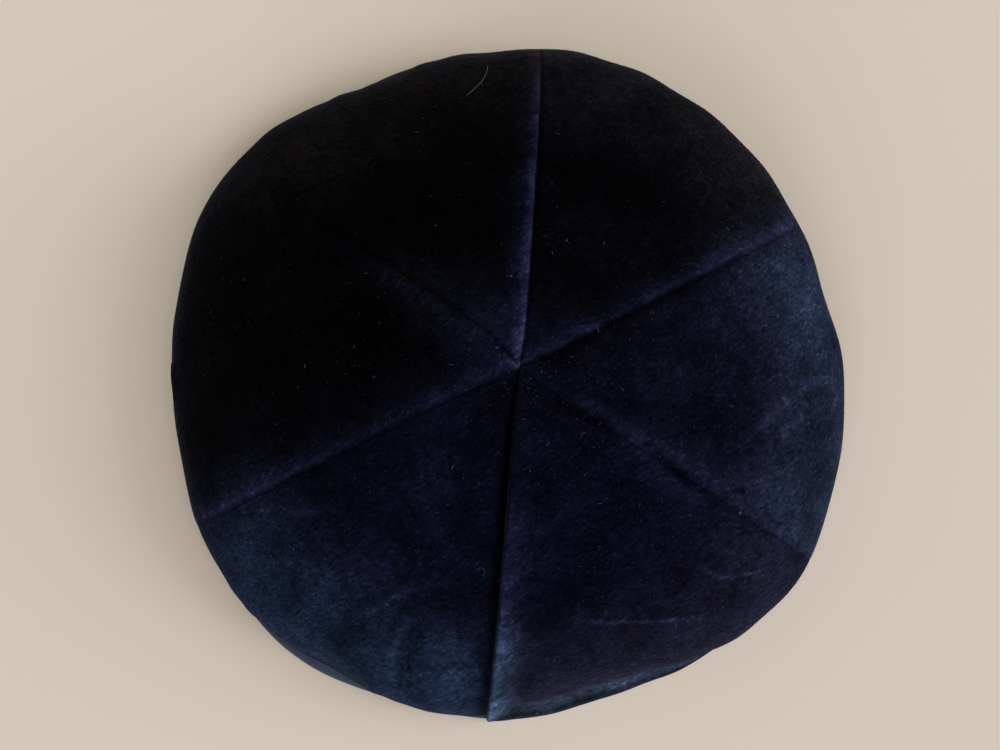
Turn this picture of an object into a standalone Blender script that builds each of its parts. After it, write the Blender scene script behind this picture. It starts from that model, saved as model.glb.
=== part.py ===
"""Six-panel velvet kippah (skullcap), lying dome up on its rim.

Six gores of velvet meet at the crown. Each seam has its allowance pressed to one side, which
stands up as a soft rounded strip beside the stitch line. A narrow binding lies under the lower
edge and up its inner side, and peeks out where the rim is slack. The hollow under the dome is
open. Units are metres, +Z is up, and the origin is on the surface that the cap lies on, under
the middle of its outline.
"""

import math

import bpy
import numpy as np

# Size of the whole cap
CAP_DIAMETER = 0.1795
CAP_HEIGHT = 0.0455

# Velvet panels
PANEL_WALL = 0.0018
PANEL_FLATTEN = 0.0020
CROWN_HOLE = 0.0016
SEAM_GAP = 0.0003

# Raised strip over the seam allowance: half its foot and what is left of it at the rim are
# shares; then the valley at the stitches, and how near the crown the seams come together
STRIP_WIDTH = 0.0056
STRIP_RISE = 0.0012
STRIP_FOOT_SHARE = 0.75
STRIP_RIM_SHARE = 0.20
STRIP_RIM_FADE = 0.0240
VALLEY_WIDTH = 0.0018
VALLEY_DEPTH = 0.0006
CROWN_FADE = 0.0180
CROWN_TURN = 0.0050

# Binding under the lower edge and up inside it; its corners are rounded by a share of its wall
BINDING_WALL = 0.0010
BINDING_DEPTH = 0.0040
BINDING_GAP = 0.0003
BINDING_PEEK = 0.0024
BINDING_CORNER_SHARE = 0.35

# How far the lower edge lifts and leans, and how high its creases and folds stand
RIM_LIFT = 0.0020
FLARE_DEGREES = 14.0
RIM_FADE = 0.0060
PEEK_FADE = 0.0140
FOLD_RISE = 0.0014

# Mesh density
PANEL_COLUMNS = 16
PANEL_ROWS = 19

# The lower edge, anticlockwise from +X: bearing in degrees, reach of the outline as a share of
# the mean radius, flare (1 leans fully outwards, -1 tucks under), lift as a share of RIM_LIFT,
# peek of the binding as a share of BINDING_PEEK
RIM_COLUMNS = ("bearing", "reach", "flare", "lift", "peek")
RIM = (
    (0.0, 0.983, -1.0, 0.5, 0.0),
    (17.0, 0.962, -1.0, 0.0, 0.0),
    (40.0, 0.980, -1.0, 0.0, 0.0),
    (57.0, 0.991, -1.0, 0.6, 0.0),
    (74.0, 0.997, -1.0, 0.0, 0.0),
    (98.0, 0.988, -0.6, 0.0, 0.0),
    (112.0, 0.999, 1.0, 1.0, 1.0),
    (122.0, 0.998, -0.3, 0.3, 0.0),
    (134.0, 1.022, -0.8, 0.0, 0.0),
    (148.0, 1.038, -1.0, 0.0, 0.0),
    (170.0, 1.010, -0.4, 0.5, 0.3),
    (190.0, 0.998, -0.4, 0.3, 0.3),
    (210.0, 1.011, -0.5, 0.0, 0.0),
    (224.0, 1.027, -0.4, 0.1, 0.0),
    (236.0, 1.032, 1.0, 0.3, 1.0),
    (250.0, 1.001, -0.2, 0.0, 0.0),
    (266.0, 1.006, 0.5, 0.0, 0.0),
    (280.0, 0.990, 0.9, 0.0, 0.0),
    (294.0, 0.982, 0.6, 0.5, 0.0),
    (312.0, 1.007, -0.5, 0.0, 0.0),
    (328.0, 1.022, -0.9, 0.0, 0.1),
    (344.0, 0.995, -0.9, 0.0, 0.0),
)

# The seams, anticlockwise: bearing at the rim in degrees, sideways bow half way down in
# degrees, offset of the stitch line past the crown as a share of STRIP_WIDTH, side with the
# raised strip (1 is the anticlockwise one), rise as a share of STRIP_RISE
SEAM_COLUMNS = ("bearing", "bow", "offset", "side", "rise")
SEAMS = (
    (29.4, -1.0, -0.21, 1.0, 0.8),
    (86.5, -0.5, -0.17, 1.0, 1.0),
    (145.2, 1.0, -0.45, 1.0, 0.6),
    (205.2, 0.9, 0.0, -1.0, 0.9),
    (266.6, -0.5, -0.24, 1.0, 1.0),
    (329.9, -0.6, -0.28, 1.0, 0.6),
)

# Creases and dents seen from above: both ends and the width as shares of the mean radius,
# rise as a share of FOLD_RISE (a dent is negative)
FOLD_COLUMNS = ("from_x", "from_y", "to_x", "to_y", "width", "rise")
FOLDS = (
    (0.17, -0.72, 0.45, -0.72, 0.035, 0.6),
    (-0.42, -0.68, -0.22, -0.60, 0.035, 0.8),
    (-0.33, -0.72, -0.37, -0.86, 0.030, 0.6),
    (-0.17, -0.80, -0.14, -0.88, 0.060, -0.6),
    (0.36, -0.30, 0.48, -0.36, 0.045, 0.9),
    (0.62, -0.33, 0.74, -0.42, 0.035, 0.7),
    (0.70, -0.12, 0.88, 0.02, 0.035, 0.7),
    (-0.64, -0.38, -0.56, -0.37, 0.040, 0.7),
)

# Finishes: name, linear base colour, roughness
VELVET = ("velvet_black", (0.006, 0.006, 0.011), 0.95)
BINDING = ("binding_navy", (0.020, 0.024, 0.038), 0.65)


def clear_scene():
    """Remove every object so that the script starts from an empty scene."""
    for item in list(bpy.data.objects):
        bpy.data.objects.remove(item, do_unlink=True)


def column(rows, names, name):
    """One named column of a table as an array."""
    return np.array([row[names.index(name)] for row in rows])


def ease(value):
    """Smooth step from 0 to 1, level at both ends."""
    value = np.clip(value, 0.0, 1.0)
    return value * value * (3.0 - 2.0 * value)


def rim_place(bearing):
    """Index of the rim row before each bearing, of the row after it, and the share between."""
    turns = np.radians(column(RIM, RIM_COLUMNS, "bearing"))
    ends = np.append(turns, turns[0] + math.tau)
    wrapped = np.mod(bearing - turns[0], math.tau) + turns[0]
    before = np.clip(np.searchsorted(ends, wrapped, side="right") - 1, 0, len(turns) - 1)
    share = (wrapped - ends[before]) / (ends[before + 1] - ends[before])
    return before, (before + 1) % len(turns), share


def rim_level(name, bearing):
    """A rim column, eased from row to row, so that it stays level between equal rows."""
    values = column(RIM, RIM_COLUMNS, name)
    before, after, share = rim_place(bearing)
    return values[before] + (values[after] - values[before]) * ease(share)


def rim_curve(name, bearing):
    """A rim column as a smooth closed cubic whose slope at a row comes from its neighbours."""
    values = column(RIM, RIM_COLUMNS, name)
    turns = np.radians(column(RIM, RIM_COLUMNS, "bearing"))
    steps = np.mod(np.roll(turns, -1) - turns, math.tau)
    slopes = (np.roll(values, -1) - np.roll(values, 1)) / (steps + np.roll(steps, 1))
    before, after, share = rim_place(bearing)
    change = values[after] - values[before]
    leaving = slopes[before] * steps[before]
    arriving = slopes[after] * steps[before]
    square = 3.0 * change - 2.0 * leaving - arriving
    cube = leaving + arriving - 2.0 * change
    return values[before] + share * (leaving + share * (square + share * cube))


def lower_edge_height(bearing):
    """Height of the panels' lower edge, a gap above the foot of the binding."""
    return RIM_LIFT * rim_level("lift", bearing) + BINDING_WALL + BINDING_GAP


def binding_peek(bearing):
    """How far the binding stands out past the panels' lower edge."""
    return BINDING_PEEK * rim_level("peek", bearing)


def section(bearing, inset):
    """The dome's section at a bearing: an ellipse's half axes, its centre and its end angle.

    The ellipse starts level at the crown and ends on the lower edge, short of upright where
    the rim flares and past it where the rim tucks under. The inset moves it inwards.
    """
    reach = 0.5 * CAP_DIAMETER * rim_curve("reach", bearing) - inset
    top = CAP_HEIGHT - inset
    foot = lower_edge_height(bearing)
    end = np.radians(90.0 - FLARE_DEGREES * rim_level("flare", bearing))
    centre = (foot - top * np.cos(end)) / (1.0 - np.cos(end))
    half_width = reach / np.sin(np.minimum(end, 0.5 * math.pi))
    return half_width, top - centre, centre, end


def peek_recess(bearing, above):
    """How far the wall draws in, low down, so that the binding peeks out within the outline."""
    half_width, _, _, end = section(bearing, 0.0)
    tuck = half_width * (1.0 - np.sin(np.maximum(end, 0.5 * math.pi)))
    return np.maximum(binding_peek(bearing) - tuck, 0.0) * (1.0 - ease(above / PEEK_FADE))


def dome(bearing, down, inset):
    """Distance from the axis, height, and outward direction in the upright plane."""
    half_width, half_height, centre, end = section(bearing, inset)
    turn = down * end
    height = centre + half_height * np.cos(turn)
    distance = half_width * np.sin(turn)
    distance = distance - peek_recess(bearing, height - lower_edge_height(bearing))
    out = half_height * np.sin(turn)
    up = half_width * np.cos(turn)
    size = np.hypot(out, up)
    return distance, height, out / size, up / size


def seam_bearing(seam, down):
    """Bearing of a seam at a share of the way from the crown to the rim.

    The stitch line passes the crown at its offset, and within CROWN_TURN bends in to meet it.
    """
    row = dict(zip(SEAM_COLUMNS, SEAMS[seam % len(SEAMS)]))
    turns = seam // len(SEAMS)
    straight = row["bearing"] + 360.0 * turns + 4.0 * row["bow"] * down * (1.0 - down)
    distance = 0.5 * CAP_DIAMETER * np.sin(0.5 * math.pi * down)
    aside = row["offset"] * STRIP_WIDTH * distance / (distance * distance + CROWN_TURN**2)
    return np.radians(straight) + aside


def seam_relief(seam, away, side):
    """Rise beside a seam: the rounded strip on its raised side, the valley on both sides."""
    row = dict(zip(SEAM_COLUMNS, SEAMS[seam % len(SEAMS)]))
    valley = -VALLEY_DEPTH * np.exp(-np.square(away / VALLEY_WIDTH))
    if row["side"] != side:
        return valley
    across = np.abs(away - 0.5 * STRIP_WIDTH) / (STRIP_FOOT_SHARE * STRIP_WIDTH)
    across = np.minimum(across, 1.0)
    return valley + STRIP_RISE * row["rise"] * np.square(1.0 - np.square(across))


def fold_relief(x, y):
    """Rise of the creases and dents: a rounded ridge about each one's line seen from above."""
    mean_radius = 0.5 * CAP_DIAMETER
    total = np.zeros_like(x)
    for values in FOLDS:
        row = dict(zip(FOLD_COLUMNS, values))
        run_x = (row["to_x"] - row["from_x"]) * mean_radius
        run_y = (row["to_y"] - row["from_y"]) * mean_radius
        past_x = x - row["from_x"] * mean_radius
        past_y = y - row["from_y"] * mean_radius
        along = (past_x * run_x + past_y * run_y) / (run_x * run_x + run_y * run_y)
        along = np.clip(along, 0.0, 1.0)
        away = np.hypot(past_x - along * run_x, past_y - along * run_y)
        total += FOLD_RISE * row["rise"] * np.exp(-np.square(away / (row["width"] * mean_radius)))
    return total


def panel_surface(panel, across, down, inset):
    """Points of a panel's outer or inner skin; its flattened middle is common to both.

    The relief stands along the dome's outward direction, but near the lower edge only level
    with the floor, so that the edge keeps its height over the binding.
    """
    start = seam_bearing(panel, down)
    finish = seam_bearing(panel + 1, down)
    middle, _, _, _ = dome(0.5 * (start + finish), down, inset)
    half_gap = 0.5 * SEAM_GAP / middle
    bearing = start + half_gap + (finish - start - 2.0 * half_gap) * across
    distance, height, out, up = dome(bearing, down, inset)
    above = height - lower_edge_height(bearing)
    bulge = 1.0 - np.square(2.0 * across - 1.0)
    rise = -PANEL_FLATTEN * np.square(np.sin(math.pi * down)) * bulge
    if inset == 0.0:
        seams = seam_relief(panel, distance * (bearing - start), 1.0)
        seams = seams + seam_relief(panel + 1, distance * (finish - bearing), -1.0)
        left = STRIP_RIM_SHARE + (1.0 - STRIP_RIM_SHARE) * ease(above / STRIP_RIM_FADE)
        rise = rise + seams * left * ease(distance / CROWN_FADE)
        rise = rise + fold_relief(distance * np.cos(bearing), distance * np.sin(bearing))
    reach = distance + rise * out
    height = height + rise * up * ease(above / RIM_FADE)
    return np.stack((reach * np.cos(bearing), reach * np.sin(bearing), height), -1)


def panel_shares():
    """Shares across a panel of its columns, which lie closer beside the seams."""
    return 0.5 - 0.5 * np.cos(np.linspace(0.0, math.pi, PANEL_COLUMNS + 1))


def panel_points(panel):
    """Outer and inner skins of a panel, crown row first."""
    across = panel_shares()
    tip = CROWN_HOLE / (math.pi * CAP_DIAMETER)
    down = np.linspace(tip, 1.0, PANEL_ROWS + 1)
    down, across = np.meshgrid(down, across, indexing="ij")
    outer = panel_surface(panel, across, down, 0.0)
    inner = panel_surface(panel, across, down, PANEL_WALL)
    return outer, inner


def wall_at(bearing, height, inset):
    """Distance from the axis of a panel's skin at a height above its lower edge."""
    half_width, half_height, centre, _ = section(bearing, inset)
    level = (lower_edge_height(bearing) + height - centre) / half_height
    return half_width * np.sqrt(1.0 - np.square(level)) - peek_recess(bearing, height)


def binding_bearings():
    """Bearings of the binding's sections: the seams' lower ends and the panels' columns."""
    ends = [seam_bearing(seam, 1.0) for seam in range(len(SEAMS) + 1)]
    shares = panel_shares()[:-1]
    parts = [start + (finish - start) * shares for start, finish in zip(ends, ends[1:])]
    return np.concatenate(parts)


def binding_points():
    """Closed section of the binding at each bearing: a foot under the edge and an inner leg."""
    bearing = binding_bearings()
    edge = lower_edge_height(bearing)
    base = edge - BINDING_GAP - BINDING_WALL
    floor = edge - BINDING_GAP
    half = 0.5 * BINDING_DEPTH
    turned = BINDING_CORNER_SHARE * BINDING_WALL
    outside = wall_at(bearing, 0.0, 0.0) + binding_peek(bearing)
    in_low = wall_at(bearing, 0.0, PANEL_WALL) - BINDING_GAP
    in_half = wall_at(bearing, half, PANEL_WALL) - BINDING_GAP
    in_top = wall_at(bearing, BINDING_DEPTH, PANEL_WALL) - BINDING_GAP
    profile = (
        (outside - turned, base),
        (outside, base + turned),
        (outside, floor - turned),
        (outside - turned, floor),
        (in_low, floor),
        (in_half, edge + half),
        (in_top, edge + BINDING_DEPTH),
        (in_top - BINDING_WALL, edge + BINDING_DEPTH - turned),
        (in_half - BINDING_WALL, edge + half),
        (in_low - BINDING_WALL, base + turned),
        (in_low - BINDING_WALL + turned, base),
    )
    rings = [(r * np.cos(bearing), r * np.sin(bearing), z) for r, z in profile]
    return np.stack([np.stack(ring, -1) for ring in rings], 1)


def grid_faces(rows, columns, offset, flip):
    """Quads of a grid of points that are numbered row by row from the offset."""
    faces = []
    for row in range(rows - 1):
        for place in range(columns - 1):
            first = offset + row * columns + place
            quad = (first, first + columns, first + columns + 1, first + 1)
            faces.append(quad[::-1] if flip else quad)
    return faces


def edge_faces(loop, offset):
    """Quads that join a closed loop of the outer skin to the same loop of the inner skin."""
    pairs = zip(loop, loop[1:] + loop[:1])
    return [(a, b, offset + b, offset + a) for a, b in pairs]


def add_object(name, points, faces, finish):
    """Make a named object with one material from points and faces."""
    mesh = bpy.data.meshes.new(name)
    mesh.from_pydata(points.reshape(-1, 3).tolist(), [], faces)
    mesh.validate()
    mesh.shade_smooth()
    mesh.set_sharp_from_angle(angle=math.radians(40.0))
    mesh.materials.append(finish)
    item = bpy.data.objects.new(name, mesh)
    bpy.context.collection.objects.link(item)
    return item


def add_panel(name, outer, inner, finish):
    """One closed velvet wall from its two skins."""
    rows, columns = outer.shape[:2]
    offset = rows * columns
    top = list(range(columns))
    right = [row * columns + columns - 1 for row in range(1, rows)]
    bottom = [offset - 2 - place for place in range(columns - 1)]
    left = [row * columns for row in range(rows - 2, 0, -1)]
    faces = grid_faces(rows, columns, 0, False)
    faces += grid_faces(rows, columns, offset, True)
    faces += edge_faces(top + right + bottom + left, offset)
    return add_object(name, np.stack((outer, inner)), faces, finish)


def add_binding(name, points, finish):
    """The closed ring of the binding, its section joined from bearing to bearing."""
    segments, corners = points.shape[:2]
    faces = []
    for segment in range(segments):
        after = (segment + 1) % segments
        for corner in range(corners):
            beside = (corner + 1) % corners
            faces.append((
                segment * corners + corner,
                after * corners + corner,
                after * corners + beside,
                segment * corners + beside,
            ))
    return add_object(name, points, faces, finish)


def add_finish(finish):
    """A Principled material from a finish row."""
    name, colour, roughness = finish
    material = bpy.data.materials.new(name)
    material.use_nodes = True
    shader = material.node_tree.nodes["Principled BSDF"]
    shader.inputs["Base Color"].default_value = (*colour, 1.0)
    shader.inputs["Roughness"].default_value = roughness
    shader.inputs["Metallic"].default_value = 0.0
    return material


def middle_of_outline(groups):
    """Middle of the box round all points, on the floor."""
    points = np.concatenate([group.reshape(-1, 3) for group in groups])
    middle = 0.5 * (points.min(axis=0) + points.max(axis=0))
    return np.array((middle[0], middle[1], 0.0))


def main():
    """Build the six panels and the binding round the middle of the cap's outline."""
    clear_scene()
    velvet = add_finish(VELVET)
    trim = add_finish(BINDING)
    panels = [panel_points(panel) for panel in range(len(SEAMS))]
    binding = binding_points()
    middle = middle_of_outline([outer for outer, _ in panels] + [binding])
    for number, (outer, inner) in enumerate(panels, start=1):
        add_panel(f"panel_{number}", outer - middle, inner - middle, velvet)
    add_binding("edge_binding", binding - middle, trim)


main()
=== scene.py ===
"""Looks of a six-panel velvet kippah (skullcap), lying dome up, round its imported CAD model.

Laid out as a Blender add-on and run as a script. Lengths are in metres, +Z is up, and the floor
is at zero. The dome is the one of the part's source: six gores whose section at each bearing is
an ellipse from the level crown down to the lower edge. To it are added the crisp strips over the
seam allowances, puckers, creases, the turned-out hem, the pile, and what clings to the velvet.
"""

import math

import bpy
import numpy as np
from mathutils import Matrix, Vector


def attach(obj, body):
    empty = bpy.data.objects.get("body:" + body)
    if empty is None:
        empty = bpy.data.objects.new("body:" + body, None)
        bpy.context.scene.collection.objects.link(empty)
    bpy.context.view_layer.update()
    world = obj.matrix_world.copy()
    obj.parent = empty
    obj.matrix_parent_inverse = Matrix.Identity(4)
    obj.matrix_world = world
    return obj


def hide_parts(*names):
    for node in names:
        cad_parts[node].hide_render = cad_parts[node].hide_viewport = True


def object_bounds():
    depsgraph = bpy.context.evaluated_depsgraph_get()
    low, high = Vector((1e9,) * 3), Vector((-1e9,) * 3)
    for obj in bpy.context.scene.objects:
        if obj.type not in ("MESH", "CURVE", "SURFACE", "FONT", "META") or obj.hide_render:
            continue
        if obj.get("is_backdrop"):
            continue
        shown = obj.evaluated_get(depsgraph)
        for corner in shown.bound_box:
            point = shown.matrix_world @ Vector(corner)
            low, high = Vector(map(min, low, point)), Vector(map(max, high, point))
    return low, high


bl_info = {
    "name": "Velvet kippah looks",
    "version": (1, 0, 0),
    "blender": (4, 5, 0),
    "location": "3D View > Sidebar > Kippah",
    "description": "Builds the velvet panels, binding, pile, lint and studio of a kippah skullcap",
    "category": "Object",
}

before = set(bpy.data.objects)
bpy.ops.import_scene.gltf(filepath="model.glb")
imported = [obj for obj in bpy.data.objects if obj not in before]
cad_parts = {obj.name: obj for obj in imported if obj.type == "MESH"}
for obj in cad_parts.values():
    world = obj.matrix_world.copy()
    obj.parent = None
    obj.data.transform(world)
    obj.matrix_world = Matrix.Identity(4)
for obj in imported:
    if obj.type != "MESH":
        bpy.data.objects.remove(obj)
CAD_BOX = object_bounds()

# Where the dome's axis stands in the frame
AXIS = (0.00094, 0.00053)

# The lower edge, anticlockwise from +X: bearing in degrees, reach of the outline as a share of
# the mean radius, flare (1 leans fully outwards, -1 tucks under), lift as a share of the rim
# lift, peek of the binding as a share of its largest
RIM_COLUMNS = ("bearing", "reach", "flare", "lift", "peek")
RIM = (
    (0.0, 0.979, -1.0, 0.5, 0.0),
    (17.0, 0.962, -1.0, 0.0, 0.0),
    (40.0, 0.980, -1.0, 0.0, 0.0),
    (57.0, 0.985, -1.0, 0.6, 0.0),
    (74.0, 0.994, -1.0, 0.0, 0.0),
    (97.0, 0.989, -0.4, 0.3, 0.15),
    (105.0, 1.004, 0.1, 0.8, 0.55),
    (111.0, 1.003, 0.5, 1.0, 0.75),
    (117.0, 0.999, 0.2, 0.8, 0.55),
    (123.0, 0.998, -0.2, 0.5, 0.30),
    (129.0, 1.005, -0.6, 0.2, 0.10),
    (137.0, 1.027, -0.9, 0.0, 0.0),
    (148.0, 1.030, -1.0, 0.0, 0.0),
    (170.0, 1.008, -0.4, 0.5, 0.3),
    (190.0, 0.993, -0.4, 0.3, 0.3),
    (210.0, 1.011, -0.5, 0.0, 0.0),
    (216.0, 1.017, -0.35, 0.05, 0.12),
    (221.0, 1.029, -0.15, 0.1, 0.35),
    (226.0, 1.037, 0.15, 0.1, 0.60),
    (231.0, 1.038, 0.55, 0.2, 0.85),
    (237.0, 1.032, 1.0, 0.3, 1.0),
    (243.0, 1.020, 0.7, 0.2, 0.75),
    (247.0, 1.012, 0.2, 0.1, 0.30),
    (251.0, 1.000, -0.2, 0.0, 0.0),
    (266.0, 1.009, 0.5, 0.0, 0.0),
    (280.0, 0.995, 0.9, 0.0, 0.0),
    (294.0, 0.985, 0.6, 0.5, 0.0),
    (304.0, 1.009, 0.2, 0.3, 0.0),
    (313.0, 1.015, -0.5, 0.0, 0.0),
    (328.0, 1.020, -0.9, 0.0, 0.1),
    (344.0, 0.995, -0.9, 0.0, 0.0),
)

# The seams, anticlockwise: bearing at the rim and sideways bow half way down in degrees, offset
# of the stitch line past the crown as a share of the strip's width, side with the raised strip
# (1 is the anticlockwise one), rise of the strip as a share of the strip's rise, depth and width
# in millimetres of the valley on its other side, how dark the valley's painted shadow is, the
# painted highlight on the strip near the crown and towards the rim, how much of that painted
# highlight lies close to the stitches, the shares of the relief and of the valley's painted shadow
# that are left at the rim, the width of the strip's step at the stitches as a share of its width,
# and how far the two panels' painted shades run into each other at the seam
SEAM_COLUMNS = (
    "bearing", "bow", "offset", "side", "rise", "deep", "wide", "dark", "painted_light", "rim_highlight", "core",
    "rim", "rim_dark", "step", "mix",
)
SEAMS = (
    (29.4, -1.0, -0.21, 1.0, 0.8, 0.35, 1.6, 0.6, 0.9, 1.3, 0.50, 0.0, 0.0, 0.40, 0.22),
    (86.5, -0.5, -0.17, 1.0, 1.2, 0.45, 0.8, 0.5, 2.5, 1.0, 0.75, 0.0, 0.2, 0.18, 0.15),
    (145.2, 1.0, -0.45, 1.0, 0.3, 0.05, 1.3, 0.45, 0.13, 0.0, 0.30, 0.0, 0.0, 0.40, 0.50),
    (205.2, 0.9, 0.0, -1.0, 0.9, 0.30, 1.8, 0.25, 0.55, 1.3, 0.45, 0.1, 0.0, 0.40, 0.30),
    (266.6, -0.1, -0.24, 1.0, 1.1, 1.30, 2.4, 0.9, 0.05, 1.2, 0.30, 0.6, 0.8, 0.18, 0.05),
    (329.9, -0.6, -0.28, 1.0, 0.3, 0.05, 1.2, 0.22, 0.20, 0.5, 0.10, 0.1, 1.0, 0.50, 0.20),
)

# The hem that is turned out on the lower right panel: bearing, and how far the wall above it
# stands back as a share of the largest
HEM_COLUMNS = ("bearing", "back")
HEM = (
    (266.6, 0.0),
    (267.4, 0.10),
    (269.6, 0.80),
    (271.0, 1.0),
    (283.0, 0.95),
    (296.0, 0.70),
    (303.0, 0.38),
    (308.0, 0.12),
    (314.0, 0.0),
)

# Creases and dents seen from above: both ends and the width as shares of the mean radius, rise
# as a share of the fold rise (a dent is negative), and the painted light along them (painted shade
# where it is negative)
FOLD_COLUMNS = ("from_x", "from_y", "to_x", "to_y", "width", "rise", "painted_light")
FOLDS = (
    # Bottom: a thin crease in two parts, and a wrinkle to its right, with painted highlights
    (0.16, -0.685, 0.21, -0.683, 0.007, 0.15, 0.7),
    (0.22, -0.688, 0.33, -0.684, 0.006, 0.18, 2.0),
    (0.35, -0.690, 0.44, -0.682, 0.006, 0.18, 1.8),
    (0.44, -0.68, 0.52, -0.68, 0.010, 0.12, 0.6),
    (0.50, -0.53, 0.56, -0.56, 0.009, 0.12, 0.8),
    (0.56, -0.56, 0.66, -0.545, 0.006, 0.15, 1.3),
    # Lower left: wrinkles and dents, with painted light and painted shade
    (-0.40, -0.66, -0.33, -0.61, 0.011, 0.30, 0.8),
    (-0.33, -0.61, -0.29, -0.585, 0.012, 0.30, 0.9),
    (-0.29, -0.585, -0.20, -0.57, 0.012, 0.25, 0.6),
    (-0.30, -0.67, -0.34, -0.77, 0.010, 0.30, 0.8),
    (-0.34, -0.77, -0.34, -0.85, 0.013, 0.30, 0.7),
    (-0.27, -0.71, -0.29, -0.78, 0.020, -0.30, -0.35),
    (-0.16, -0.76, -0.16, -0.87, 0.060, -0.35, 0.6),
    (-0.61, -0.38, -0.54, -0.38, 0.012, 0.30, 0.6),
    # Lower right: a zone of painted light over the seam, with dimples along the stitches painted dark
    # as painted shade
    (0.03, -0.02, 0.10, -0.055, 0.012, 0.05, 0.5),
    (0.165, -0.088, 0.31, -0.168, 0.020, 0.12, 0.8),
    (0.10, -0.093, 0.231, -0.157, 0.014, -0.15, -0.6),
    (0.30, -0.17, 0.44, -0.24, 0.045, 0.25, 0.9),
    (0.48, -0.24, 0.66, -0.30, 0.055, 0.25, 0.6),
    (0.33, -0.27, 0.46, -0.335, 0.026, 0.25, 0.9),
    (0.33, -0.193, 0.38, -0.233, 0.010, -0.30, -0.9),
    (0.390, -0.245, 0.412, -0.262, 0.012, -0.30, -0.9),
    (0.424, -0.268, 0.446, -0.293, 0.015, -0.30, -1.0),
    (0.60, -0.315, 0.608, -0.32, 0.010, -0.30, -1.5),
    (0.68, -0.385, 0.72, -0.41, 0.012, -0.20, -0.4),
    (0.66, -0.29, 0.76, -0.37, 0.040, 0.25, 0.5),
    # Right: long strokes that run up to the rim, painted lighter, and two wide patches of painted light
    (0.60, -0.20, 0.74, -0.08, 0.014, 0.20, 0.6),
    (0.67, -0.14, 0.80, -0.04, 0.014, 0.25, 0.7),
    (0.80, -0.04, 0.89, 0.00, 0.016, 0.25, 0.6),
    (0.66, -0.22, 0.80, -0.12, 0.014, 0.20, 0.5),
    (0.62, 0.30, 0.80, 0.20, 0.110, 0.0, 0.9),
    (0.54, 0.17, 0.72, 0.27, 0.070, 0.0, 0.9),
    # Left: painted shade on the pile by the rim, under the strip's end
    (-0.90, -0.42, -0.80, -0.46, 0.045, 0.0, -0.4),
    # Crown: painted light on its left, the folded tip of the top strip with a painted highlight, and
    # the painted shadow under it
    (-0.05, 0.09, -0.15, 0.22, 0.085, 0.0, 1.5),
    (-0.06, 0.06, -0.30, 0.25, 0.070, 0.0, 1.3),
    (-0.08, 0.02, -0.24, 0.10, 0.060, 0.0, 0.5),
    (-0.032, 0.017, -0.010, 0.008, 0.008, 0.25, 7.0),
    (-0.012, 0.007, -0.003, 0.001, 0.008, 0.35, 20.0),
    (0.050, 0.008, 0.190, 0.085, 0.018, -0.15, -0.55),
)

# Shade of the pile round the crown, and of each panel's, panel_1 to panel_6: half way down and by
# the rim, with painted light and shade: lighter on the lamps' side and by the rim as painted sheen,
# darker as painted shade on the panels turned away
CROWN_SHADE = "#04040b"
MIDDLE_PAINTED_SHADES = ("#030305", "#020203", "#020203", "#080916", "#060612", "#080813")
RIM_PAINTED_SHADES = ("#100f11", "#0f0c0d", "#040405", "#151e30", "#151422", "#1b2132")
# Painted highlight where the lamps catch the seams' raised strips, and its colour by the rim on each
# panel
STRIP_HIGHLIGHT_SHADE = "#14162a"
STRIP_RIM_PAINTED_SHADES = ("#1f2136", "#131112", "#14162a", "#1a2233", "#3a5068", "#1a2233")
# The turned-out hem's band, painted lighter as painted light where it faces the lamps
HEM_PAINTED_LIGHT = "#28313f"
# How the painted light and shade of the creases, dents and patches scale red, green and blue: the
# painted light is a little greener
PAINTED_LIGHT_TINT = (0.86, 1.10, 1.0)
# The least light that a dent's painted shade leaves, and the most that the painted shadows of a
# valley and of the edge take away
PAINTED_LIGHT_LEAST = 0.1
VALLEY_DARK_MOST = 0.95
DARK_MOST = 0.97

# How far the wall leans out at the lower edge where its flare is 1, in degrees
FLARE_DEGREES = 14.0
# Sideways bow of a seam half way down where its bow is 1, in quarter degrees
BOW = 4.0
# A seam's length from the crown to the edge, in diameters
SEAM_LENGTH = 0.6
# How fast a gore's flatness grows down from the crown
FLAT_POWER = 0.6
# Share of a panel's columns that are spread evenly; the others crowd towards the seams
EVEN_SHARE = 0.3
# Distance between two panels on the flat map
MAP_STEP = 0.5

# A run is where a change starts and how long it takes, in metres. Over the lower edge: the wall
# that stands back over the hem, the flatness of the gores, and the hem's painted light
HEM_RUN = (0.010, 0.026)
FLAT_RUN = (0.008, 0.014)
HEM_PAINTED_LIGHT_RUN = (0.0015, 0.004)
# Out from the axis: from the crown's shade to the painted shade half way down, and from that to
# the rim's painted sheen and shade
MIDDLE_RUN = (0.003, 0.026)
RIM_RUN = (0.052, 0.038)
# Down a seam: from the strip's painted highlight near the crown to that near the rim, the valley's
# growing width and the growing relief, with the shares that both start from
HIGHLIGHT_RUN = (0.018, 0.034)
VALLEY_RUN = (0.003, 0.014)
VALLEY_START = 0.4
RELIEF_RUN = (0.004, 0.030)
RELIEF_START = 0.45
# Height over the lower edge where the relief beside the seams starts
RELIEF_FOOT = 0.013
# Distance from the axis where the seams' shadows have faded, and how long they take for it
SHADOW_END = 0.080
SHADOW_FADE = 0.030

# Runs across a strip, in strip widths, and across a panel, as shares of its width: the strip's
# slope, and where the strip and its light end before the panel's other seam
STRIP_SLOPE = (0.25, 1.35)
STRIP_END = (0.40, 0.55)
LIGHT_END = (0.50, 0.50)
# How far from the stitches the painted highlight's bright core and its wider glow reach
STRIP_CORE = 0.0018
STRIP_GLOW = 0.0045
# Patches of that light: length, strength, turn from seam to seam, and turn across the strip
HIGHLIGHT_PATCHES = (
    (0.0310, 0.16, 2.0, 0.0),
    (0.0127, 0.14, 4.1, 0.0),
    (0.0059, 0.14, 1.3, 300.0),
)
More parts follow.
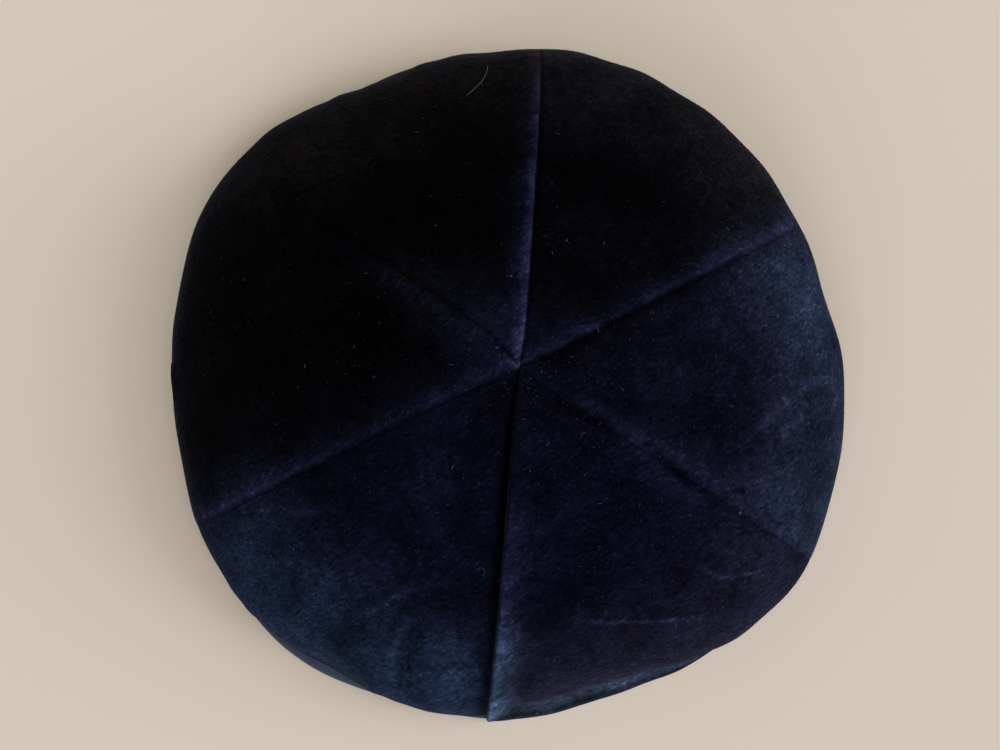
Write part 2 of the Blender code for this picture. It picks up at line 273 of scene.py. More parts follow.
# Width of the valley under the strip's own side, and how deep the inner skin follows the strip
OWN_VALLEY = 0.0005
FLAP_DEPTH = 0.0005
# Puckers along the stitches: length, rise, where they start and how far they reach, the second
# wave's height and length as shares of the first's, how they turn from seam to seam, and how much
# the strip wavers with them
PUCKER = {
    "length": 0.0074, "rise": 0.00012, "start": 0.0008, "reach": 0.0035, "second": 0.6,
    "shorter": 0.61, "turn": 1.7, "second_turn": 2.9, "waver": 0.10,
}
# Slow waves of the cloth: length, bearing and phase in radians; and their rise for each length
CLOTH_WAVES = ((0.034, 0.4, 0.3), (0.027, 1.7, 2.1), (0.021, 2.6, 4.0), (0.016, 3.3, 1.1))
CLOTH_RISE = 0.006
# How far the shades of two panels run into each other
SHADE_RUN = 0.012
# Painted shadow along the turned lower edge: how dark it is, how high it reaches, and how much
# higher over the tape
EDGE_SHADOW = 0.75
EDGE_SHADOW_HEIGHT = 0.0006
EDGE_SHADOW_PEEK = 1.2
# Where the edge lifts off the tape: bearing and reach in degrees, and the height of its painted
# shadow
LIFTED_BEARING = 108.0
LIFTED_REACH = 11.0
LIFTED_DARK_HEIGHT = 0.0026
# Rows and columns of a panel's outer skin; the inner one has half of each
PANEL_ROWS = 220
PANEL_COLUMNS = 176

# The tape: sections round the edge, its colour in the painted shadow under the lifted edge, and
# how much of its thickness the corners are turned
TAPE_SECTIONS = 620
SHADOWED_TAPE = "#0c0909"
TAPE_TURN = 0.35
# Stitches on the tape: pitch, thread radius, how far they stand out and sink at their middle,
# in metres; height as a share of the tape's depth and length as a share of the pitch
STITCH = {
    "pitch": 0.0030, "radius": 0.00017, "out": 0.00006, "sink": 0.00012, "height": 0.62, "run": 0.78,
}

# Fibres of the pile: how many, how deep the root sits and half its width in metres, the lean down
# the panel and how much it strays, the rise, and the brightness against the velvet's shade
PILE = {
    "fibres": 36000, "root": 0.00008, "half_width": 0.00004, "lean": 0.35, "stray": 0.5, "rise": 0.32,
    "bright": 1.4, "uneven": 0.45,
}
# Shares down and across a panel that the fibres keep to, and the step that finds their directions
PILE_DOWN = (0.02, 0.985)
PILE_ACROSS = (0.01, 0.98)
PILE_STEP = 0.004

# Single bright bits of lint seen from above, as shares of the mean radius: place, length in
# millimetres, heading in degrees, curl in degrees along the length, and brightness
MARK_COLUMNS = ("x", "y", "length", "heading", "curl", "bright")
MARKS = (
    (0.12, 0.34, 0.9, 20.0, 60.0, 0.9),
    (0.58, 0.39, 0.9, 100.0, 40.0, 0.9),
    (-0.57, 0.00, 1.0, 60.0, 50.0, 0.6),
    (0.60, -0.38, 0.7, 30.0, 200.0, 1.6),
    (-0.11, -0.53, 3.6, 60.0, -200.0, 0.45),
    (0.05, -0.01, 1.0, 300.0, 200.0, 0.5),
)
# The loose bits: how many, the share that gathers about a bearing, that bearing in degrees and
# how widely they stray from it in radians
LINT = {"bits": 850, "gathered": 0.82, "bearing": -60.0, "stray": 1.35}
# Thread radii and heights over the pile, in metres: bits, marks, hair, tuft
BIT_RADIUS = 0.00006
MARK_RADIUS = 0.00008
BIT_LIFT = 0.00012
HAIR_RADIUS = 0.00007
HAIR_LIFT = 0.00025
TUFT_RADIUS = 0.00012
# Points along each thread of lint
LINT_STEPS = 7
# The light hair near the top
HAIR = ((-0.08, 0.89), (-0.085, 0.855), (-0.10, 0.825), (-0.12, 0.80), (-0.14, 0.78))
HAIR_SHADE = "#5a5855"
# The tuft of loose fibre at the left of the rim: bearings in degrees, height over the lower edge
TUFT = {"from": 178.0, "to": 185.5, "above": 0.0125, "fibres": 12}
TUFT_SHADE = "#0a0606"

# The camera as fitted to the photograph: where it stands, where it looks, its roll and its lens
CAMERA_PLACE = (-0.0148, -0.0197, 0.3023)
CAMERA_AIM = (-0.0023, 0.0013, 0.0100)
CAMERA_ROLL = -0.0038
CAMERA_LENS = 40.0
# Lamps: bearing, elevation and width in degrees, watts on each square metre, colour
LAMPS = {
    "window_key": (0.0, 28.0, 40.0, 1.9, "#e4ecff"),
    "window_low": (-108.0, 28.0, 36.0, 1.1, "#dfe9ff"),
    "overhead_fill": (-45.0, 73.0, 60.0, 0.8, "#fff4e6"),
}
AIR_COLOUR = "#e9e6e2"
AIR_STRENGTH = 0.45
# Half the floor's width, and how far it lies under the cap so that no faces touch
FLOOR_HALF = 14.0
FLOOR_DROP = 0.00005

MILLIMETRE = 0.001
QUARTER_TURN = 0.5 * math.pi


def linear_colour(text):
    """Linear RGB of an sRGB hex value: each channel through the sRGB curve."""
    values = np.array([int(text[i : i + 2], 16) for i in (1, 3, 5)]) / 255.0
    return np.where(values <= 0.04045, values / 12.92, ((values + 0.055) / 1.055) ** 2.4)


def length_property(name, default, description):
    """A length in metres for a property group."""
    return bpy.props.FloatProperty(
        name=name, description=description, default=default, min=0.0, unit="LENGTH", precision=5
    )


def colour_property(name, default, description):
    """A linear colour for a property group, from a hex value."""
    return bpy.props.FloatVectorProperty(
        name=name, description=description, default=tuple(linear_colour(default)), subtype="COLOR",
        size=3, min=0.0, max=1.0,
    )


class KippahSizes(bpy.types.PropertyGroup):
    """Sizes of the cap, in metres."""

    diameter: length_property("Diameter", 0.1795, "Mean width of the cap across its outline")
    height: length_property("Height", 0.0455, "Height of the crown over the floor")
    wall: length_property("Wall", 0.0018, "Thickness of the velvet with its pile")
    flatten: length_property("Flatten", 0.0020, "How far a gore's middle lies inside the dome")
    tip_radius: length_property("Tip radius", 0.00012, "Radius of the hole where the tips meet")
    seam_gap: length_property("Seam gap", 0.00005, "Gap between two panels at a seam")
    strip_width: length_property("Strip width", 0.0056, "Width of a seam allowance")
    strip_rise: length_property("Strip rise", 0.0011, "How high a strip stands")
    strip_fade: length_property("Strip fade", 0.0240, "Height over the rim where strips flatten")
    crown_fade: length_property("Crown fade", 0.0120, "Radius within which the relief fades")
    crown_turn: length_property("Crown turn", 0.0050, "Radius within which seams bend in")
    rim_lift: length_property("Rim lift", 0.0020, "Most that the lower edge lifts off the floor")
    rim_fade: length_property("Rim fade", 0.0060, "Height where the rim's relief turns level")
    fold_rise: length_property("Fold rise", 0.0014, "Height of the highest crease")
    hem_back: length_property("Hem back", 0.0036, "How far the wall stands back over the hem")
    hem_height: length_property("Hem height", 0.0026, "Height of the turned-out hem")
    tape_wall: length_property("Tape wall", 0.0010, "Thickness of the binding tape")
    tape_depth: length_property("Tape depth", 0.0040, "Height of the tape inside the cap")
    tape_gap: length_property("Tape gap", 0.0003, "Gap between the tape and the velvet")
    tape_peek: length_property("Tape peek", 0.0020, "Most that the tape peeks out")
    peek_fade: length_property("Peek fade", 0.0140, "Height where the wall is back in line")
    pile_length: length_property("Pile length", 0.0005, "Length of the pile that stands out")


class KippahColours(bpy.types.PropertyGroup):
    """Colours of the cap and of the studio."""

    backing: colour_property("Backing", "#20202a", "Woven back of the velvet")
    tape: colour_property("Tape", "#192a43", "Binding tape")
    thread: colour_property("Thread", "#1b1d26", "Stitches along the binding tape")
    lint: colour_property("Lint", "#484b66", "Lint and loose fibres")
    floor: colour_property("Floor", "#d8ccba", "Studio floor")
    sheen: colour_property("Sheen", "#b9c4e6", "Light along the tips of the pile")


def column(rows, names, name):
    """One named column of a table as an array."""
    return np.array([row[names.index(name)] for row in rows])


def ease(value):
    """Smooth step from 0 to 1: three squares less two cubes of the value kept in 0 to 1."""
    value = np.clip(value, 0.0, 1.0)
    return value * value * (3.0 - 2.0 * value)


def run(value, span):
    """Eased share of a run, which is where it starts and how long it is."""
    return ease((value - span[0]) / span[1])


def bell(value, width):
    """A bell over zero: e to the power of minus the square of the value over the width."""
    return np.exp(-np.square(value / width))


def grown(least, share):
    """From a least value at a share of 0 to 1 at a share of 1."""
    return least + (1.0 - least) * share


def placed(distance, bearing, height):
    """Points at distances and bearings round the dome's axis, at heights over the floor."""
    x = AXIS[0] + distance * np.cos(bearing)
    y = AXIS[1] + distance * np.sin(bearing)
    return np.stack(np.broadcast_arrays(x, y, height), -1)


def rim_place(bearing):
    """Index of the rim row before each bearing, of the row after it, and the share between."""
    turns = np.radians(column(RIM, RIM_COLUMNS, "bearing"))
    ends = np.append(turns, turns[0] + math.tau)
    wrapped = np.mod(bearing - turns[0], math.tau) + turns[0]
    before = np.clip(np.searchsorted(ends, wrapped, side="right") - 1, 0, len(turns) - 1)
    share = (wrapped - ends[before]) / (ends[before + 1] - ends[before])
    return before, (before + 1) % len(turns), share


def rim_level(name, bearing):
    """A rim column, eased from row to row, so that it stays level between equal rows."""
    values = column(RIM, RIM_COLUMNS, name)
    before, after, share = rim_place(bearing)
    return values[before] + (values[after] - values[before]) * ease(share)


def rim_curve(name, bearing):
    """A rim column as a smooth closed cubic whose slope at a row comes from its neighbours."""
    values = column(RIM, RIM_COLUMNS, name)
    turns = np.radians(column(RIM, RIM_COLUMNS, "bearing"))
    steps = np.mod(np.roll(turns, -1) - turns, math.tau)
    slopes = (np.roll(values, -1) - np.roll(values, 1)) / (steps + np.roll(steps, 1))
    before, after, share = rim_place(bearing)
    change = values[after] - values[before]
    leaving = slopes[before] * steps[before]
    arriving = slopes[after] * steps[before]
    square = 3.0 * change - 2.0 * leaving - arriving
    cube = leaving + arriving - 2.0 * change
    return values[before] + share * (leaving + share * (square + share * cube))


def lower_edge(size, bearing):
    """Height of the panels' lower edge: the rim's lift, the tape's wall and the gap."""
    return size.rim_lift * rim_level("lift", bearing) + size.tape_wall + size.tape_gap


def section(size, bearing, inset):
    """Half axes, centre and end angle of the ellipse that is the dome's section at a bearing.

    The centre is where the ellipse passes through the crown and the lower edge; its half width
    is the reach, divided by the sine of the end angle where the rim flares.
    """
    reach = 0.5 * size.diameter * rim_curve("reach", bearing) - inset
    top = size.height - inset
    end = np.radians(90.0 - FLARE_DEGREES * rim_level("flare", bearing))
    centre = (lower_edge(size, bearing) - top * np.cos(end)) / (1.0 - np.cos(end))
    half_width = reach / np.sin(np.minimum(end, QUARTER_TURN))
    return half_width, top - centre, centre, end


def peek_recess(size, bearing, above):
    """How far the wall draws in over the peeking tape, easing out up to the peek fade."""
    half_width, _, _, end = section(size, bearing, 0.0)
    tuck = half_width * (1.0 - np.sin(np.maximum(end, QUARTER_TURN)))
    peek = size.tape_peek * rim_level("peek", bearing)
    return np.maximum(peek - tuck, 0.0) * (1.0 - ease(above / size.peek_fade))


def hem_share(bearing):
    """How far the hem is turned out at a bearing, as a share of its most."""
    turns = np.radians(column(HEM, HEM_COLUMNS, "bearing"))
    return np.interp(np.mod(bearing, math.tau), turns, column(HEM, HEM_COLUMNS, "back"))


def hem_recess(size, bearing, above):
    """How far the wall stands back over the turned-out hem: up fast, then slowly out again."""
    rise = np.sqrt(np.clip(above / size.hem_height, 0.0, 1.0))
    return size.hem_back * hem_share(bearing) * rise * (1.0 - run(above, HEM_RUN))


def lifted_share(bearing):
    """A bell over the bearings at the upper left where the edge lifts off the tape, for its painted
    shadow.
    """
    return bell(np.degrees(np.mod(bearing, math.tau)) - LIFTED_BEARING, LIFTED_REACH)


def dome(size, bearing, down, inset):
    """Distance from the axis, height, and outward direction in the upright plane.

    The distance is the half width times the sine of the share down the end angle, the height
    is the centre plus the half height times its cosine.
    """
    half_width, half_height, centre, end = section(size, bearing, inset)
    turn = down * end
    height = centre + half_height * np.cos(turn)
    above = height - lower_edge(size, bearing)
    distance = half_width * np.sin(turn)
    distance = distance - peek_recess(size, bearing, above) - hem_recess(size, bearing, above)
    out = half_height * np.sin(turn)
    up = half_width * np.cos(turn)
    length = np.hypot(out, up)
    return distance, height, out / length, up / length


def seam_row(seam):
    """The row of a seam as a dictionary, counting round."""
    return dict(zip(SEAM_COLUMNS, SEAMS[seam % len(SEAMS)]))


def seam_bearing(size, seam, down):
    """Bearing of a seam on its way down: bowed, and passing the crown at its offset."""
    row = seam_row(seam)
    straight = row["bearing"] + 360.0 * (seam // len(SEAMS)) + BOW * row["bow"] * down * (1.0 - down)
    distance = 0.5 * size.diameter * np.sin(QUARTER_TURN * down)
    near = distance * distance + size.crown_turn**2
    return np.radians(straight) + row["offset"] * size.strip_width * distance / near


def strip_share(size, seam, away, other, side):
    """Share of the strip's rise beside a seam: a steep step at the stitches, then a long slope.

    The slope ends before the panel's other seam, which is as far off as the second distance.
    """
    row = seam_row(seam)
    if row["side"] != side:
        return np.zeros_like(away)
    step = ease(away / (row["step"] * size.strip_width))
    across = away / np.maximum(away + other, 1e-9)
    return step * (1.0 - run(away / size.strip_width, STRIP_SLOPE)) * (1.0 - run(across, STRIP_END))


def strip_highlight(size, seam, away, other, along, side):
    """Painted highlight on a strip's pile: brightest by the stitches, and patchy along the seam.

    The light is two bells away from the stitches, times waves along the seam.
    """
    row = seam_row(seam)
    if row["side"] != side:
        return np.zeros_like(away)
    highlight = row["painted_light"] + (row["rim_highlight"] - row["painted_light"]) * run(along, HIGHLIGHT_RUN)
    patchy = 1.0
    for length, strength, turn, slant in HIGHLIGHT_PATCHES:
        patchy = patchy + strength * np.sin(math.tau * along / length + turn * seam + slant * away)
    step = ease(away / (row["step"] * size.strip_width))
    spread = row["core"] * bell(away, STRIP_CORE) + (1.0 - row["core"]) * bell(away, STRIP_GLOW)
    across = away / np.maximum(away + other, 1e-9)
    return highlight * patchy * step * spread * (1.0 - run(across, LIGHT_END))


def valley_share(seam, away, along, side):
    """Share of the valley's depth beside a seam; it also sets the valley's painted shadow.

    It is a bell, wide only on the side with no strip, and narrow where it starts by the crown.
    """
    row = seam_row(seam)
    width = OWN_VALLEY if row["side"] == side else MILLIMETRE * row["wide"]
    return bell(away, width * grown(VALLEY_START, run(along, VALLEY_RUN)))


def seam_relief(size, seam, away, other, along, side):
    """Rise beside a seam: its strip, puckered along the stitches, less the valley.

    The pucker is two sines along the seam that die out away from the stitches, and the valley
    is a bell whose depth and width are the seam's own.
    """
    row = seam_row(seam)
    strip = strip_share(size, seam, away, other, side)
    wave = np.sin(math.tau * along / PUCKER["length"] + seam * PUCKER["turn"])
    second = math.tau * along / (PUCKER["shorter"] * PUCKER["length"])
    wave = wave + PUCKER["second"] * np.sin(second + seam * PUCKER["second_turn"] + side)
    reach = np.exp(-away / PUCKER["reach"]) * (1.0 - np.exp(-away / PUCKER["start"]))
    valley = -MILLIMETRE * row["deep"] * valley_share(seam, away, along, side)
    raised = size.strip_rise * row["rise"] * strip * (1.0 + PUCKER["waver"] * wave)
    relief = raised + PUCKER["rise"] * wave * reach + valley
    return grown(RELIEF_START, run(along, RELIEF_RUN)) * relief


def fold_sums(size, x, y):
    """Rise of the creases and dents, and their painted light and shade, seen from above.

    Each is a bell away from its line, times its rise or its painted light.
    """
    mean_radius = 0.5 * size.diameter
    rise = np.zeros_like(x)
    painted_light = np.zeros_like(x)
    for values in FOLDS:
        row = dict(zip(FOLD_COLUMNS, values))
        run_x = (row["to_x"] - row["from_x"]) * mean_radius
        run_y = (row["to_y"] - row["from_y"]) * mean_radius
        past_x = x - row["from_x"] * mean_radius
        past_y = y - row["from_y"] * mean_radius
        along = (past_x * run_x + past_y * run_y) / (run_x * run_x + run_y * run_y)
        along = np.clip(along, 0.0, 1.0)
        away = np.hypot(past_x - along * run_x, past_y - along * run_y)
        near = bell(away, row["width"] * mean_radius)
        rise += size.fold_rise * row["rise"] * near
        painted_light += row["painted_light"] * near
    return rise, painted_light


def cloth_waves(x, y):
    """Slow unevenness of the cloth: a few crossing sines, seen from above."""
    total = np.zeros_like(x)
    for length, turn, phase in CLOTH_WAVES:
        across = x * math.cos(turn) + y * math.sin(turn)
        total += CLOTH_RISE * length * np.sin(math.tau * across / length + phase)
    return total


def blended_shade(shades, panel, from_left, from_right):
    """A panel's shade with the shares of the two neighbours' that run into it."""
    own, left, right = (linear_colour(shades[(panel + step) % len(SEAMS)]) for step in (0, -1, 1))
    return own + (left - own) * from_left[..., None] + (right - own) * from_right[..., None]


def panel_surface(size, panel, across, down, inset):
    """Points of a panel's outer or inner skin, and the shade of its pile with painted light and shade.

    A point is the dome's, moved along the outward direction by the gore's flatness, the relief
    beside both seams, the creases and the waves.
    """
    start = seam_bearing(size, panel, down)
    finish = seam_bearing(size, panel + 1, down)
    middle, _, _, _ = dome(size, 0.5 * (start + finish), down, inset)
    half_gap = 0.5 * size.seam_gap / middle
    bearing = start + half_gap + (finish - start - 2.0 * half_gap) * across
    distance, height, out, up = dome(size, bearing, down, inset)
    above = height - lower_edge(size, bearing)
    along = down * SEAM_LENGTH * size.diameter
    from_start = distance * (bearing - start)
    from_finish = distance * (finish - bearing)
    fade = run(above, (RELIEF_FOOT, size.strip_fade))
    relief = np.zeros_like(distance)
    flap = np.zeros_like(distance)
    lit = np.zeros_like(distance)
    dark = np.zeros_like(distance)
    for seam, away, other, side in (
        (panel, from_start, from_finish, 1.0), (panel + 1, from_finish, from_start, -1.0)
    ):
        row = seam_row(seam)
        relief += grown(row["rim"], fade) * seam_relief(size, seam, away, other, along, side)
        flap += strip_share(size, seam, away, other, side)
        lit += strip_highlight(size, seam, away, other, along, side)
        # Painted shadow in the valley beside each seam, fading towards the rim
        left = grown(row["rim_dark"], ease((SHADOW_END - distance) / SHADOW_FADE))
        dark += row["dark"] * left * valley_share(seam, away, along, side)
    x = distance * np.cos(bearing)
    y = distance * np.sin(bearing)
    crown = ease(distance / size.crown_fade)
    bulge = 1.0 - np.square(2.0 * across - 1.0)
    flat = np.square(np.sin(math.pi * down**FLAT_POWER))
    rise = -size.flatten * flat * bulge * run(above, FLAT_RUN)
    fold, painted_light = fold_sums(size, x, y)
    if inset == 0.0:
        rise = rise + (relief + cloth_waves(x, y)) * crown + fold
    else:
        rise = rise - FLAP_DEPTH * flap * crown
    height = height + rise * up * ease(above / size.rim_fade)
    points = placed(distance + rise * out, bearing, height)
    from_left = bell(from_start, SHADE_RUN) * seam_row(panel)["mix"]
    from_right = bell(from_finish, SHADE_RUN) * seam_row(panel + 1)["mix"]
    middle_part = run(distance, MIDDLE_RUN)[..., None]
    rim_part = run(distance, RIM_RUN)[..., None]
    middle_painted_shade = blended_shade(MIDDLE_PAINTED_SHADES, panel, from_left, from_right)
    rim_painted_shade = blended_shade(RIM_PAINTED_SHADES, panel, from_left, from_right)
    # The crown's colour, then the panels' painted light and shade half way down and by the rim
    shade = linear_colour(CROWN_SHADE) * (1.0 - middle_part) + middle_painted_shade * middle_part
    shade = shade * (1.0 - rim_part) + rim_painted_shade * rim_part
    # Painted light and shade of the creases, dents and patches, a little greener where light
    shade = shade * np.maximum(1.0 + painted_light[..., None] * np.array(PAINTED_LIGHT_TINT), PAINTED_LIGHT_LEAST)
    # The painted highlight on the strips, turning to each panel's own colour of it by the rim
    strip_highlight_shade = linear_colour(STRIP_HIGHLIGHT_SHADE)
    strip_highlight_shade = strip_highlight_shade + (linear_colour(STRIP_RIM_PAINTED_SHADES[panel]) - strip_highlight_shade) * rim_part
    shade = shade + strip_highlight_shade * lit[..., None]
    # The hem's band painted lighter as painted light, fading out up the wall
    turned = np.sqrt(hem_share(bearing)) * (1.0 - run(above, HEM_PAINTED_LIGHT_RUN))
    shade = shade + (linear_colour(HEM_PAINTED_LIGHT) - shade) * turned[..., None]
    # Painted shadow along the lower edge, reaching higher where the tape peeks out
    edge = EDGE_SHADOW_HEIGHT * (1.0 + EDGE_SHADOW_PEEK * rim_level("peek", bearing))
    dark = np.clip(dark, 0.0, VALLEY_DARK_MOST) + EDGE_SHADOW * bell(above, edge)
    # Painted shadow on the velvet under the lifted edge
    dark = dark + EDGE_SHADOW * lifted_share(bearing) * bell(above, LIFTED_DARK_HEIGHT)
    return points, shade * (1.0 - np.clip(dark, 0.0, DARK_MOST))[..., None]


def panel_grid(size, panel, rows, columns, inset):
    """A panel's skin on a grid: points, shades, and a flat map in metres, crown row first."""
    even = np.linspace(0.0, 1.0, columns + 1)
    across = EVEN_SHARE * even + (1.0 - EVEN_SHARE) * (0.5 - 0.5 * np.cos(math.pi * even))
    tip = 2.0 * size.tip_radius / (math.pi * 0.5 * size.diameter)
    down, across = np.meshgrid(np.linspace(tip, 1.0, rows + 1), across, indexing="ij")
    points, shade = panel_surface(size, panel, across, down, inset)
    width = math.tau / len(SEAMS) * 0.5 * size.diameter * np.sin(QUARTER_TURN * down)
    place = (across - 0.5) * width + panel * MAP_STEP
    return points, shade, np.stack((place, down * SEAM_LENGTH * size.diameter), -1)


def grid_quads(rows, columns, offset, flip):
    """Quads of a grid of points numbered row by row from the offset, as an array."""
    row, place = np.meshgrid(np.arange(rows), np.arange(columns), indexing="ij")
    first = (offset + row * (columns + 1) + place).ravel()
    quads = np.stack((first, first + columns + 1, first + columns + 2, first + 1), -1)
    return quads[:, ::-1] if flip else quads


def ring_quads(rings, corners, closed):
    """Quads between rings of points numbered ring by ring; closed joins the last to the first."""
    bands = rings if closed else rings - 1
    ring, corner = np.meshgrid(np.arange(bands), np.arange(corners), indexing="ij")
    here = ring * corners
    there = (ring + 1) % rings * corners
    beside = (corner + 1) % corners
    quads = (here + corner, there + corner, there + beside, here + beside)
    return np.stack(quads, -1).reshape(-1, 4)


def outline_loop(rows, columns):
    """Numbers of a grid's border points, once round, crown row first."""
    wide = columns + 1
    top = np.arange(columns)
    right = np.arange(rows) * wide + columns
    bottom = rows * wide + np.arange(columns, 0, -1)
    left = np.arange(rows, 0, -1) * wide
    return np.concatenate((top, right, bottom, left))


def make_mesh(name, points, faces, materials, slots=None, flat=None, shade=None):
    """An object at the origin from arrays of points and faces of any number of corners."""
    mesh = bpy.data.meshes.new(name)
    counts = np.concatenate([np.full(len(part), part.shape[1]) for part in faces])
    corners = np.concatenate([part.ravel() for part in faces]).astype(np.int32)
    starts = np.concatenate(((0,), np.cumsum(counts)[:-1])).astype(np.int32)
    mesh.vertices.add(len(points))
    mesh.vertices.foreach_set("co", np.ascontiguousarray(points, np.float32).ravel())
    mesh.loops.add(len(corners))
    mesh.loops.foreach_set("vertex_index", corners)
    mesh.polygons.add(len(counts))
    mesh.polygons.foreach_set("loop_start", starts)
    for material in materials:
        mesh.materials.append(material)
    if slots is not None:
        mesh.polygons.foreach_set("material_index", slots.astype(np.int32))
    mesh.update(calc_edges=True)
    if flat is not None:
        layer = mesh.uv_layers.new(name="cloth_map")
        layer.data.foreach_set("uv", np.ascontiguousarray(flat[corners], np.float32).ravel())
    if shade is not None:
        colours = np.concatenate((shade, np.ones((len(shade), 1))), 1)
        layer = mesh.attributes.new("shade", "FLOAT_COLOR", "POINT")
        layer.data.foreach_set("color", colours.astype(np.float32).ravel())
    if mesh.validate():
        raise RuntimeError(f"{name} has faulty faces")
    mesh.shade_smooth()
    item = bpy.data.objects.new(name, mesh)
    bpy.context.scene.collection.objects.link(item)
    return item


def add_node(tree, kind, settings=(), **links):
    """A shader node of a kind with its settings; links give what each input takes.

    That is a value, an output, or a node, whose first output is used. An input is named as in
    Blender with _ for a space, or by its number after an n.
    """
    node = tree.nodes.new("ShaderNode" + kind)
    for key, value in dict(settings).items():
        setattr(node, key, value)
    for key, value in links.items():
        socket = node.inputs[int(key[1:]) if key[1:].isdigit() else key.replace("_", " ")]
        if isinstance(value, bpy.types.Node):
            value = value.outputs[0]
        if isinstance(value, bpy.types.NodeSocket):
            tree.links.new(value, socket)
        else:
            socket.default_value = value
    return node


def new_material(name):
    """An empty node material and its tree."""
    material = bpy.data.materials.new(name)
    material.use_nodes = True
    material.node_tree.nodes.clear()
    return material, material.node_tree


def rgba(colour):
    """A colour of three values with full cover."""
    return (*colour, 1.0)


def add_finish(tree, **looks):
    """The shader with its looks, joined to the material's output."""
    add_node(tree, "OutputMaterial", Surface=add_node(tree, "BsdfPrincipled", **looks))


def velvet_material(colours):
    """Cotton velvet, woven with a cut pile: matt and nearly black where it is looked into,
    with a soft blue sheen where it is seen from the side, and fine streaks along the nap."""
    material, tree = new_material("cotton_velvet_cut_pile")
    # The shade attribute is the pile's colour, with its painted light and shade
    shade = add_node(tree, "Attribute", {"attribute_name": "shade"})
    place = add_node(tree, "TexCoord").outputs["Object"]
    # Strokes of brushed pile about 2 mm long and 1 mm wide, that run up to the right in the view
    # from above
    brushed = add_node(
        tree, "Mapping", {"vector_type": "TEXTURE"}, Vector=place,
        Rotation=(0.0, 0.0, math.radians(34.0)), Scale=(0.0018, 0.00085, 0.0011),
    )
    # The tips of the pile show as flecks about 0.5 mm across, tufts that lean their own way are 2
    # to 4 mm across, and rubbed patches 15 mm. Each noise is stretched to a share of the shade
    noises = {}
    shares = {}
    for name, vector, scale, detail, roughness, low, high, least, most in (
        ("strokes", brushed, 1.0, 3.0, 0.65, 0.30, 0.72, 0.42, 1.80),
        ("flecks", place, 1250.0, 1.0, 0.50, 0.58, 0.80, 0.00, 1.80),
        ("tufts", place, 330.0, 3.0, 0.55, 0.30, 0.70, 0.72, 1.35),
        ("patches", place, 70.0, 2.0, 0.50, 0.32, 0.68, 0.60, 1.45),
    ):
        noise = add_node(
            tree, "TexNoise", Vector=vector, Scale=scale, Detail=detail, Roughness=roughness
        )
        shares[name] = add_node(tree, "MapRange", Value=noise, n1=low, n2=high, n3=least, n4=most)
        noises[name] = noise
    share = add_node(
        tree, "Math", {"operation": "MULTIPLY_ADD"},
        n0=shares["flecks"], n1=shares["strokes"], n2=shares["strokes"],
    )
    for name in ("tufts", "patches"):
        share = add_node(tree, "Math", {"operation": "MULTIPLY"}, n0=share, n1=shares[name])
    height = add_node(
        tree, "Math", {"operation": "MULTIPLY_ADD"},
        n0=noises["tufts"], n1=0.9, n2=noises["strokes"],
    )
    add_finish(
        tree, Base_Color=add_node(tree, "VectorMath", {"operation": "SCALE"}, n0=shade, Scale=share),
        Normal=add_node(tree, "Bump", Height=height, Strength=0.9, Distance=0.00042),
        Roughness=0.95, Specular_IOR_Level=0.01, Sheen_Weight=0.08, Sheen_Roughness=0.30,
        Sheen_Tint=rgba(colours.sheen),
    )
    return material


def fibre_material(name, colours):
    """Single cotton fibres: thin, matt, each with its own shade, which on the pile is the velvet's
    with its painted light and shade, made lighter.
    """
    material, tree = new_material(name)
    add_finish(
        tree, Base_Color=add_node(tree, "Attribute", {"attribute_name": "shade"}), Roughness=0.9,
        Specular_IOR_Level=0.05, Sheen_Weight=0.08, Sheen_Roughness=0.3,
        Sheen_Tint=rgba(colours.sheen),
    )
    return material


def woven_looks(tree, flat, weave, weight, grain, least, most, colour, strength, depth):
    """Colour and bump of a woven cloth: its weave with some unevenness scales and raises both."""
    uneven = add_node(tree, "TexNoise", Vector=flat, Scale=grain, Detail=4.0)
    mixed = add_node(tree, "Math", {"operation": "MULTIPLY_ADD"}, n0=weave, n1=weight, n2=uneven)
    share = add_node(tree, "MapRange", Value=mixed, n1=0.3, n2=1.2, n3=least, n4=most)
    return {
        "Base_Color": add_node(tree, "VectorMath", {"operation": "SCALE"}, n0=colour, Scale=share),
        "Normal": add_node(tree, "Bump", Height=mixed, Strength=strength, Distance=depth),
    }


def backing_material(colours):
    """Woven cotton back of the velvet: dull, with a plain weave."""
    material, tree = new_material("plain_woven_cotton_back")
    flat = add_node(tree, "UVMap", {"uv_map": "cloth_map"})
    # Threads are 0.5 mm apart, twice the real spacing, so that the weave can show
    warp, weft = (
        add_node(
            tree, "TexWave", {"wave_type": "BANDS", "bands_direction": way}, Vector=flat, Scale=320.0
        ).outputs["Fac"]
        for way in "XY"
    )
    weave = add_node(tree, "Math", {"operation": "MULTIPLY"}, n0=warp, n1=weft)
    looks = woven_looks(
        tree, flat, weave, 0.6, 260.0, 0.6, 1.5, tuple(colours.backing), 0.6, 0.00012
    )
    add_finish(tree, Roughness=0.85, Specular_IOR_Level=0.25, **looks)
    return material


def tape_material():
    """Polyester binding tape, finely woven: smoother and lighter than the velvet, dull satin."""
    material, tree = new_material("polyester_binding_tape")
    flat = add_node(tree, "UVMap", {"uv_map": "cloth_map"})
    # Ribs of the weave run across the tape every 0.4 mm
    ribs = add_node(
        tree, "TexWave", {"wave_type": "BANDS", "bands_direction": "X"}, Vector=flat, Scale=390.0,
        Distortion=0.6,
    ).outputs["Fac"]
    # The shade attribute is the tape's colour, with a painted shadow under the lifted edge
    shade = add_node(tree, "Attribute", {"attribute_name": "shade"})
    looks = woven_looks(tree, flat, ribs, 0.5, 420.0, 0.75, 1.3, shade, 0.4, 0.00008)
    add_finish(tree, Roughness=0.55, Specular_IOR_Level=0.4, Sheen_Weight=0.15, **looks)
    return material


